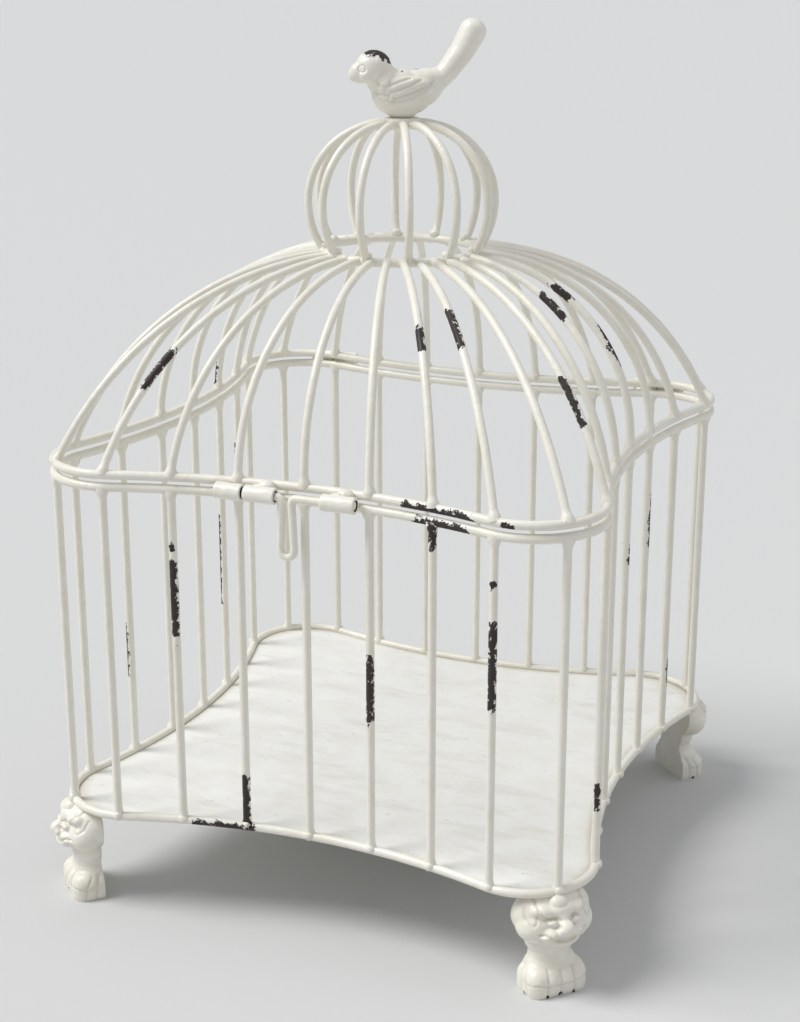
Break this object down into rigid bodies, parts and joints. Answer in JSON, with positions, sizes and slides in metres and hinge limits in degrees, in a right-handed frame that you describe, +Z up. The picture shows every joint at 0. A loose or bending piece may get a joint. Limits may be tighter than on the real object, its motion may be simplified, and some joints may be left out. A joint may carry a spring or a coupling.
{
  "type": "bird cage",
  "caption": "Square wire bird cage with inward sides on cast lion-mask feet, with a domed lid hinged at the back, a sliding bolt, a ribbed crown and a bird finial.",
  "frame": {"origin": "centre of the plan, on the floor under the feet", "axes": "+Z up, the latch faces -Y, the hinges are at +Y, +X to the right seen from the latch side"},
  "size_m": [0.3096, 0.3142, 0.469],
  "materials": {
    "wire_paint": "satin, thick cream paint with chips",
    "cast_paint": "satin, thick cream paint on cast iron",
    "plate_paint": "satin, pale paint with faint stains"
  },
  "bodies": {
    "cage": {"bottom_ring": "wire_paint", "floor_plate": "plate_paint", "top_ring": "wire_paint", "front_bars": "wire_paint", "right_bars": "wire_paint", "back_bars": "wire_paint", "left_bars": "wire_paint", "corner_bars": "wire_paint", "foot_front_left": "cast_paint", "foot_front_right": "cast_paint", "foot_back_right": "cast_paint", "foot_back_left": "cast_paint", "cage_knuckle_left": "wire_paint", "cage_knuckle_right": "wire_paint", "latch_keeper": "wire_paint"},
    "lid": {"lid_ring": "wire_paint", "roof_ribs_front": "wire_paint", "roof_ribs_right": "wire_paint", "roof_ribs_back": "wire_paint", "roof_ribs_left": "wire_paint", "roof_ribs_corner": "wire_paint", "neck_ring": "wire_paint", "crown_ribs": "wire_paint", "crown_hub": "wire_paint", "bird_finial": "cast_paint", "lid_knuckle_left": "wire_paint", "lid_knuckle_right": "wire_paint", "hinge_pin_left": "wire_paint", "hinge_pin_right": "wire_paint", "latch_guide_left": "wire_paint", "latch_guide_right": "wire_paint"},
    "latch_bolt": {"latch_bolt": "wire_paint"}
  },
  "joints": [
    {"name": "lid_hinge", "type": "hinge", "parent": "cage", "child": "lid", "pos_m": [0, 0.1554, 0.2453], "axis": [-1, 0, 0], "range_deg": [0, 180]},
    {"name": "bolt_slide", "type": "slide", "parent": "lid", "child": "latch_bolt", "axis": [1, 0, 0], "range_m": [0, 0.0135]}
  ]
}
